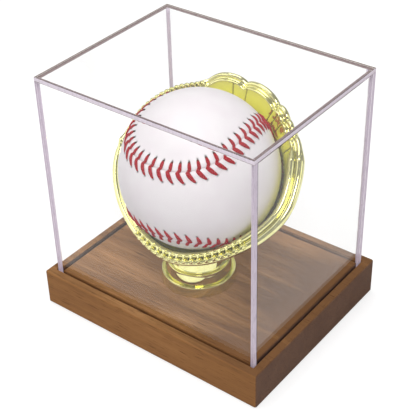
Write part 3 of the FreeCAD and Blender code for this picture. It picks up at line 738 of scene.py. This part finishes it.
# lace straps: each goes round both beads of the rim with a dip between them, and closes inside the wall
def laceStraps(run):
    step = np.linspace(run["from"], run["to"], run["loops"])
    at = (step + 180) % 360 - 180
    inner, outer = ([np.interp(at, phi, np.broadcast_to(v, phi.shape)) for v in beads[name][run["kind"]]]
                    for name in ("inner", "outer"))
    middle = np.stack([(inner[0] + outer[0]) / 2, (inner[1] + outer[1]) / 2])
    lean = np.arctan2(outer[0] - inner[0], inner[1] - outer[1])
    over = np.stack([np.cos(np.pi / 2 - lean), np.sin(np.pi / 2 - lean)])
    parts = [onBead(*inner, angle, proud) for angle, proud in lacing["ballSide"]]
    parts += [middle + run["dip"] * over]
    parts += [onBead(*outer, angle, lacing["proud"]) for angle in run["outer"]]
    parts += [middle - lacing["sunk"] * over]
    section = np.stack(parts)  # ring points, rho and h, loops
    section = np.concatenate([section, section[:1]])
    curve = throughPoints(section.reshape(len(section), -1), 2)[:-1].reshape(-1, 2, run["loops"])
    sway = run["slant"] * np.sin(np.linspace(0, 2 * np.pi, len(curve), endpoint=False))[:, None]
    angles = step[None, :] + np.degrees(sway / lacing["rimRadius"])
    paths = gloveToWorld(curve[:, 0], curve[:, 1], angles).transpose(1, 0, 2)
    ahead = unit(np.roll(paths, -1, 1) - np.roll(paths, 1, 1))
    out = paths - paths.mean(1, keepdims=True)
    out = unit(out - (out * ahead).sum(-1, keepdims=True) * ahead)
    size = np.ones(paths.shape[:2])
    return tubes(paths, np.cross(ahead, out), out, run["wide"] * size, run["high"] * size,
                 lacing["sides"], closed=True, square=run["square"])


for name, run in lacing["runs"].items():
    points, quads, uv = laceStraps(run)
    dress(meshPiece("glove_lacing_" + name, points, quads, uv), "base", "gold_plastic", goldMetal)
print("glove made")


# the pedestal, a profile of radius and height spun round its axis
footLow, footHigh = corners("pedestal")
footAxis = (footLow + footHigh) / 2
pedestal = {
    "foot": 18.57, "drum": 5.2, "toe": (0.45, 0.43),  # the drum and its rounding
    "draft": (0.1, 0.5, 0.55), "shoulder": 0.3,  # how far it leans in, halfway up, at its shoulder and on top
    "ring": (17.72, 5.42, 0.26), "step": (15.0, 10.75, 0.3),  # rings as radius, height and half size
    "sunk": 4.6, "bell": (16.6, 15.3, 10.5), "bellSag": -0.015,  # cone: radius below and above, top height
    "shelf": 13.3, "shelfUp": 0.12, "collar": (12.05, 15.4), "neck": 10.77,
    "lift": 0.02, "turns": 192,  # a hair of room under each piece
}
boss = {"toe": (0.3, 0.1, 0.3, 0.28), "flareFrom": (0.18, 0.9), "flareTo": (2.6, 4.3), "flareSag": -0.16,
        "top": 5.6}


# each profile point goes round a circle about the axis
def spun(name, profile, centre, turns):
    around = np.linspace(0, 2 * np.pi, turns, endpoint=False)
    radius, height = profile[:, :1], profile[:, 1:]
    points = np.stack([centre[0] + radius * np.cos(around), centre[1] + radius * np.sin(around),
                       height + 0 * around], -1)
    quads, uv = gridQuads(len(profile), turns, wrapCols=True)
    return meshPiece(name, points.reshape(-1, 3), quads, uv)


def bow(start, end, sag, steps=9):  # shallow arc between two profile points, bulging to the left by sag
    t = np.linspace(0, 1, steps)[:, None]
    start, end = np.array(start), np.array(end)
    along = end - start
    left = np.array([-along[1], along[0]])
    return start + t * along + 4 * sag * t * (1 - t) * left


def rounded(centre, radius, first, last, steps=9):  # part of a circle, between two angles
    turn = np.radians(np.linspace(first, last, steps))[:, None]
    return np.array(centre) + radius * np.hstack([np.cos(turn), np.sin(turn)])


# a drum with a thin ring on it, a steep cone, a step with a thin edge and a collar that narrows to the neck
def pedestalProfile():
    p, low = pedestal, footLow[2]
    top = footHigh[2] - low
    (ringAt, ringUp, ringHalf), (stepAt, stepUp, stepHalf) = p["ring"], p["step"]
    bellFoot, bellEnd, bellTop = p["bell"]
    toeIn, toeRound = p["toe"]
    halfway, shoulder, edge = (p["foot"] - lean for lean in p["draft"])
    parts = [
        [[0, p["lift"]], [shoulder, p["lift"]]],
        rounded((p["foot"] - toeIn, toeIn), toeRound, -90, 0, 5),
        [[halfway, 0.5 * p["drum"]], [shoulder, p["drum"] - p["shoulder"]], [edge, p["drum"]]],
        rounded((ringAt, ringUp), ringHalf, -30, 180, 11),
        [[ringAt - ringHalf, p["sunk"]]],
        bow((bellFoot, p["sunk"]), (bellEnd, bellTop), p["bellSag"]),
        rounded((stepAt, stepUp), stepHalf, -10, 110, 7),
        bow((p["shelf"], stepUp + p["shelfUp"]), p["collar"], 0.0, 12),
        [[p["neck"], top], [0, top]],
    ]
    return np.concatenate([np.array(part, float) for part in parts]) + np.array([0, low])


# the glove's own short neck: a rounded toe on the pedestal, then a flare up into the cup
def bossProfile():
    neck, low = pedestal["neck"], np.array([0, footHigh[2]])
    flat, toeIn, toeUp, toeRound = boss["toe"]
    (fromOut, fromUp), (toOut, toUp) = boss["flareFrom"], boss["flareTo"]
    parts = [[[0, pedestal["lift"]], [neck - flat, pedestal["lift"]]],
             rounded((neck - toeIn, toeUp), toeRound, -90, 0, 5),
             bow((neck + fromOut, fromUp), (neck + toOut, toUp), boss["flareSag"], 10),
             [[0, boss["top"]]]]
    return np.concatenate([np.array(part, float) for part in parts]) + low


foot = spun("pedestal_turned", pedestalProfile(), footAxis, pedestal["turns"])
dress(foot, "base", "gold_plastic", goldMetal, "pedestal")
neckBoss = spun("glove_boss", bossProfile(), footAxis, pedestal["turns"])
dress(neckBoss, "base", "gold_plastic", goldMetal)
print("pedestal made")


# the cover: five sheets with eased edges; glue lines are drawn in by a hair so no two faces lie in one plane
cover = {"eased": 0.2, "glue": 0.03, "wall": 2.3, "top": 1.9,
         "bead": 1.3, "beadRows": 40, "ripple": (0.05, 0.9, 0.37)}  # ripple: depth and two waves up the bead
# each sheet's thin axis and which way along it is outside
sheetSides = {"cover_top": (2, 1), "cover_front": (1, -1), "cover_back": (1, 1),
              "cover_left": (0, -1), "cover_right": (0, 1)}
backLow, backHigh = corners("cover_back")
wallTop = max(corner[2] for corner in corners("cover_top")) - cover["top"] - cover["glue"]


# a box on the CAD sheet's outer face, its thickness added inwards; side sheets stand between front and back
def coverPanel(node):
    low, high = corners(node)
    axis, outer = sheetSides[node]
    extra = cover["top" if node == "cover_top" else "wall"] - (high - low)[axis]
    if outer > 0:
        low[axis] -= extra
    else:
        high[axis] += extra
    if node != "cover_top":
        high[2] = wallTop
    if axis == 0:
        low[1] += extra + cover["glue"]
        high[1] -= extra + cover["glue"]
    pick = np.array([[0, 0, 0], [1, 0, 0], [1, 1, 0], [0, 1, 0], [0, 0, 1], [1, 0, 1], [1, 1, 1], [0, 1, 1]])
    points = np.where(pick, high, low)
    quads = np.array([[0, 3, 2, 1], [4, 5, 6, 7], [0, 1, 5, 4], [1, 2, 6, 5], [2, 3, 7, 6], [3, 0, 4, 7]])
    piece = meshPiece(node + "_sheet", points, quads)
    piece.data.polygons.foreach_set("use_smooth", np.zeros(6, bool))
    dress(piece, "cover", "acrylic", acrylicFace, node)
    piece.data.materials.append(acrylicRim if node == "cover_top" else acrylicEdge)
    piece.data.materials.append(acrylicJoint)
    faceKinds = [0 if abs(face.normal[axis]) > 0.5 else 2 if face.normal[2] > 0.5 else 1
                 for face in piece.data.polygons]  # clear face, sawn edge, glued top edge
    piece.data.polygons.foreach_set("material_index", faceKinds)
    soften = piece.modifiers.new("eased", "BEVEL")
    soften.width = cover["eased"] * mm
    soften.segments = 2
    soften.limit_method = "NONE"


# bead of cement up an inner corner: a hollow quarter round, drawn together to the corner at both ends
def cementBead(name, cornerX, inwards):
    gap, size = cover["glue"], cover["bead"]
    turn = np.radians(np.linspace(0, 90, 9))
    across = np.concatenate([[0], size * (1 - np.sin(turn))]) + gap
    along = np.concatenate([[0], size * (1 - np.cos(turn))]) + gap
    levels = np.linspace(backLow[2] + gap, wallTop - gap, cover["beadRows"])
    levels = np.concatenate([levels[:1], levels, levels[-1:]])
    shown = np.ones(len(levels))
    shown[[0, -1]] = 0
    depth, waveA, waveB = cover["ripple"]
    shown = shown * (1 + depth * np.sin(waveA * levels) * np.sin(waveB * levels))
    points = np.stack([cornerX + inwards * across * shown[:, None],
                       backHigh[1] - cover["wall"] - along * shown[:, None],
                       levels[:, None] + 0 * across], -1)
    quads, uv = gridQuads(len(levels), len(across), wrapCols=True)
    dress(meshPiece(name, points.reshape(-1, 3), quads, uv), "cover", "acrylic", acrylicEdge)


for node in sheetSides:
    coverPanel(node)
cementBead("cover_bead_left", backLow[0] + cover["wall"], 1)
cementBead("cover_bead_right", backHigh[0] - cover["wall"], -1)
print("cover made")


# floor, world, lights and camera
stage = {
    "floorWhite": (0.5, 0.5, 0.5), "floorGlow": 0.6, "worldLevel": 0.62, "floorSize": 6.0,
    # in mirrors the floor darkens behind the object: which way that is, from and to where, and both levels
    "behind": (0.62, 0.78, 0), "fade": (-0.08, 0.06, 1.1, 0.1),
    "mirrorRoom": 0.30,  # what metal sees of the walls, and its soft lights: direction, from, full, level
    "softLights": (((-0.72, -0.55, 0.42), 0.80, 0.92, 1.2), ((-0.50, 0.64, 0.58), 0.86, 0.95, 0.4),
                   ((0.90, 0.20, 0.40), 0.93, 0.97, 1.0)),
    "aim": (0, 0, 0.07),
    # each lamp's place, size and watts
    "lamps": {"overhead": ((-0.18, -0.05, 0.97), 0.5, 2.5), "frontal": ((0.366, -0.476, 0.67), 0.3, 2.4),
              "left": ((-0.38, -0.52, 0.55), 0.13, 0.12)},
}


def seenDirectly(tree):  # 1 for rays from the camera, also those that went through the clear cover
    ray = addNode(tree, "LightPath").outputs
    return worked(tree, "MAXIMUM", ray["Is Camera Ray"], ray["Is Transmission Ray"])


def reachAlong(tree, vector, direction):  # dot product
    return addNode(tree, "VectorMath", {0: vector, 1: direction}, operation="DOT_PRODUCT").outputs["Value"]


def makeFloor():
    half = stage["floorSize"] / 2
    mesh = bpy.data.meshes.new("studio_floor")
    around = [(-half, -half, 0), (half, -half, 0), (half, half, 0), (-half, half, 0)]
    mesh.from_pydata(around, [], [(0, 1, 2, 3)])
    floor = bpy.data.objects.new("studio_floor", mesh)
    bpy.context.collection.objects.link(floor)
    material, tree, shader = startMaterial("studio_white")
    setSockets(shader, Base_Color=(*stage["floorWhite"], 1), Roughness=0.9, Specular_IOR_Level=0.0,
               Emission_Color=(1, 1, 1, 1))
    fade = span(tree, reachAlong(tree, place(tree), stage["behind"]), *stage["fade"])
    inMirrors = worked(tree, "MULTIPLY", addNode(tree, "LightPath").outputs["Is Glossy Ray"], fade)
    seen = worked(tree, "MAXIMUM", seenDirectly(tree), inMirrors)
    tree.links.new(worked(tree, "MULTIPLY", seen, stage["floorGlow"]), shader.inputs["Emission Strength"])
    mesh.materials.append(material)


def makeWorld():
    # white to the camera; mirrors see a grey room with patches of soft light
    world = bpy.data.worlds.new("studio")
    world.use_nodes = True
    tree = world.node_tree
    back = tree.nodes["Background"]
    back.inputs["Color"].default_value = (1, 1, 1, 1)
    direction = addNode(tree, "TexCoord").outputs["Generated"]
    mirror = stage["mirrorRoom"]
    for aim, start, full, level in stage["softLights"]:
        patch = span(tree, reachAlong(tree, direction, aim), start, full, 0, level)
        mirror = worked(tree, "ADD", patch, mirror)
    plain = span(tree, seenDirectly(tree), 0, 1, stage["worldLevel"], 1.0)
    strength = addNode(tree, "Mix", data_type="FLOAT")
    glossy = addNode(tree, "LightPath").outputs["Is Glossy Ray"]
    for socket, value in zip((0, 2, 3), (glossy, plain, mirror)):
        tree.links.new(value, strength.inputs[socket])
    tree.links.new(strength.outputs[0], back.inputs["Strength"])
    bpy.context.scene.world = world


# a square lamp that looks at the aim: its own Z points back from there
def areaLamp(name, at, size, watts):
    data = bpy.data.lights.new(name, "AREA")
    data.energy, data.size = watts, size
    lamp = bpy.data.objects.new(name, data)
    bpy.context.collection.objects.link(lamp)
    back = unit(np.array(at, float) - np.array(stage["aim"], float))
    right = unit(np.cross((0, 0, 1), back))
    turn = np.stack([right, np.cross(back, right), back], 1)
    lamp.matrix_world = Matrix.Translation(at) @ Matrix(turn.tolist()).to_4x4()


makeFloor()
makeWorld()
for name, (at, size, watts) in stage["lamps"].items():
    areaLamp(name, at, size, watts)

camera = {"azimuth": 37.96, "elevation": 35.26, "roll": -1.44, "place": (0.25278, -0.32431, 0.34481),
          "focalPixels": 1057.3, "imagePixels": 416, "sensor": 36.0}


# looks along the given azimuth and down by the elevation, then rolls about its own axis
def makeCamera():
    azimuth, elevation, roll = np.radians([camera["azimuth"], camera["elevation"], camera["roll"]])
    right = np.array([np.cos(azimuth), np.sin(azimuth), 0])
    ground = np.array([np.sin(azimuth), -np.cos(azimuth), 0])
    back = np.cos(elevation) * ground + np.sin(elevation) * np.array([0, 0, 1])
    up = np.cross(back, right)
    c, s = np.cos(roll), np.sin(roll)
    turn = np.stack([c * right + s * up, c * up - s * right, back], 1)
    data = bpy.data.cameras.new("photo_view")
    data.sensor_width = camera["sensor"]
    data.lens = camera["sensor"] * camera["focalPixels"] / camera["imagePixels"]
    data.clip_start, data.clip_end = 0.01, 50
    view = bpy.data.objects.new("photo_view", data)
    bpy.context.collection.objects.link(view)
    view.matrix_world = Matrix.Translation(camera["place"]) @ Matrix(turn.tolist()).to_4x4()
    bpy.context.scene.camera = view


makeCamera()
bpy.context.scene.view_settings.view_transform = "Standard"
print("stage, lights and camera set")
